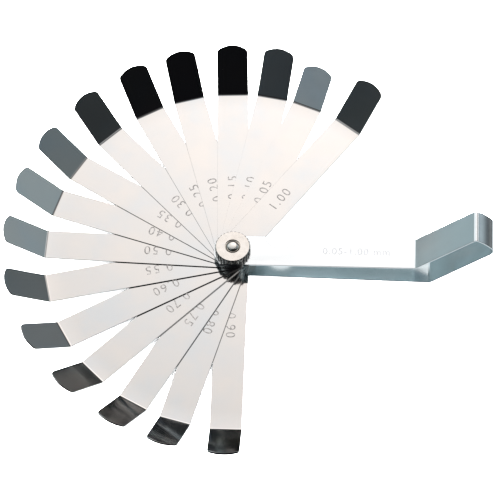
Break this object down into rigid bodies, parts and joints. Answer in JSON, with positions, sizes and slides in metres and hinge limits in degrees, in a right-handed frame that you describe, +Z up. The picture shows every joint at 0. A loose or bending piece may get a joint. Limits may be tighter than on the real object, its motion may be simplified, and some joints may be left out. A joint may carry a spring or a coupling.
{
  "type": "offset feeler gauge",
  "caption": "Fan-out set of cranked steel thickness blades held in a folded sheet-steel case by one screw and a knurled clamp nut.",
  "frame": {"origin": "centre of the flat underside of the screw's head, on the pivot axis", "axes": "+Z up along the pivot axis from the screw's head to the nut, +X along the case towards its closed cranked end"},
  "size_m": [0.1941, 0.1834, 0.0339],
  "materials": {
    "case_plating": "bright nickel plated steel",
    "blade_steel": "polished spring steel",
    "turned_steel": "turned and plated steel"
  },
  "bodies": {
    "case": {"case": "case_plating", "clamp_screw": "turned_steel"},
    "nut": {"clamp_nut": "turned_steel"},
    "blade_0_90": {"blade_0_90": "blade_steel"},
    "blade_0_80": {"blade_0_80": "blade_steel"},
    "blade_0_75": {"blade_0_75": "blade_steel"},
    "blade_0_70": {"blade_0_70": "blade_steel"},
    "blade_0_60": {"blade_0_60": "blade_steel"},
    "blade_0_55": {"blade_0_55": "blade_steel"},
    "blade_0_50": {"blade_0_50": "blade_steel"},
    "blade_0_40": {"blade_0_40": "blade_steel"},
    "blade_0_35": {"blade_0_35": "blade_steel"},
    "blade_0_30": {"blade_0_30": "blade_steel"},
    "blade_0_25": {"blade_0_25": "blade_steel"},
    "blade_0_20": {"blade_0_20": "blade_steel"},
    "blade_0_15": {"blade_0_15": "blade_steel"},
    "blade_0_10": {"blade_0_10": "blade_steel"},
    "blade_0_05": {"blade_0_05": "blade_steel"},
    "blade_1_00": {"blade_1_00": "blade_steel"}
  },
  "joints": [
    {"name": "nut_turn", "type": "hinge", "parent": "case", "child": "nut", "pos_m": [0, 0, 0.0107], "axis": [0, 0, 1], "range_deg": [0, 360]},
    {"name": "turn_0_90", "type": "hinge", "parent": "case", "child": "blade_0_90", "pos_m": [0, 0, 0.006], "axis": [0, 0, 1], "range_deg": [-270, 90]},
    {"name": "turn_0_80", "type": "hinge", "parent": "case", "child": "blade_0_80", "pos_m": [0, 0, 0.006], "axis": [0, 0, 1], "range_deg": [-254.8, 105.2]},
    {"name": "turn_0_75", "type": "hinge", "parent": "case", "child": "blade_0_75", "pos_m": [0, 0, 0.006], "axis": [0, 0, 1], "range_deg": [-241.1, 118.9]},
    {"name": "turn_0_70", "type": "hinge", "parent": "case", "child": "blade_0_70", "pos_m": [0, 0, 0.006], "axis": [0, 0, 1], "range_deg": [-225.2, 134.8]},
    {"name": "turn_0_60", "type": "hinge", "parent": "case", "child": "blade_0_60", "pos_m": [0, 0, 0.006], "axis": [0, 0, 1], "range_deg": [-209.7, 150.3]},
    {"name": "turn_0_55", "type": "hinge", "parent": "case", "child": "blade_0_55", "pos_m": [0, 0, 0.006], "axis": [0, 0, 1], "range_deg": [-193.1, 166.9]},
    {"name": "turn_0_50", "type": "hinge", "parent": "case", "child": "blade_0_50", "pos_m": [0, 0, 0.006], "axis": [0, 0, 1], "range_deg": [-177.8, 182.2]},
    {"name": "turn_0_40", "type": "hinge", "parent": "case", "child": "blade_0_40", "pos_m": [0, 0, 0.006], "axis": [0, 0, 1], "range_deg": [-163, 197]},
    {"name": "turn_0_35", "type": "hinge", "parent": "case", "child": "blade_0_35", "pos_m": [0, 0, 0.006], "axis": [0, 0, 1], "range_deg": [-149.2, 210.8]},
    {"name": "turn_0_30", "type": "hinge", "parent": "case", "child": "blade_0_30", "pos_m": [0, 0, 0.006], "axis": [0, 0, 1], "range_deg": [-134.3, 225.7]},
    {"name": "turn_0_25", "type": "hinge", "parent": "case", "child": "blade_0_25", "pos_m": [0, 0, 0.006], "axis": [0, 0, 1], "range_deg": [-119.4, 240.6]},
    {"name": "turn_0_20", "type": "hinge", "parent": "case", "child": "blade_0_20", "pos_m": [0, 0, 0.006], "axis": [0, 0, 1], "range_deg": [-106.2, 253.8]},
    {"name": "turn_0_15", "type": "hinge", "parent": "case", "child": "blade_0_15", "pos_m": [0, 0, 0.006], "axis": [0, 0, 1], "range_deg": [-92.3, 267.7]},
    {"name": "turn_0_10", "type": "hinge", "parent": "case", "child": "blade_0_10", "pos_m": [0, 0, 0.006], "axis": [0, 0, 1], "range_deg": [-79.8, 280.2]},
    {"name": "turn_0_05", "type": "hinge", "parent": "case", "child": "blade_0_05", "pos_m": [0, 0, 0.006], "axis": [0, 0, 1], "range_deg": [-68.3, 291.7]},
    {"name": "turn_1_00", "type": "hinge", "parent": "case", "child": "blade_1_00", "pos_m": [0, 0, 0.006], "axis": [0, 0, 1], "range_deg": [-53.3, 306.7]}
  ]
}
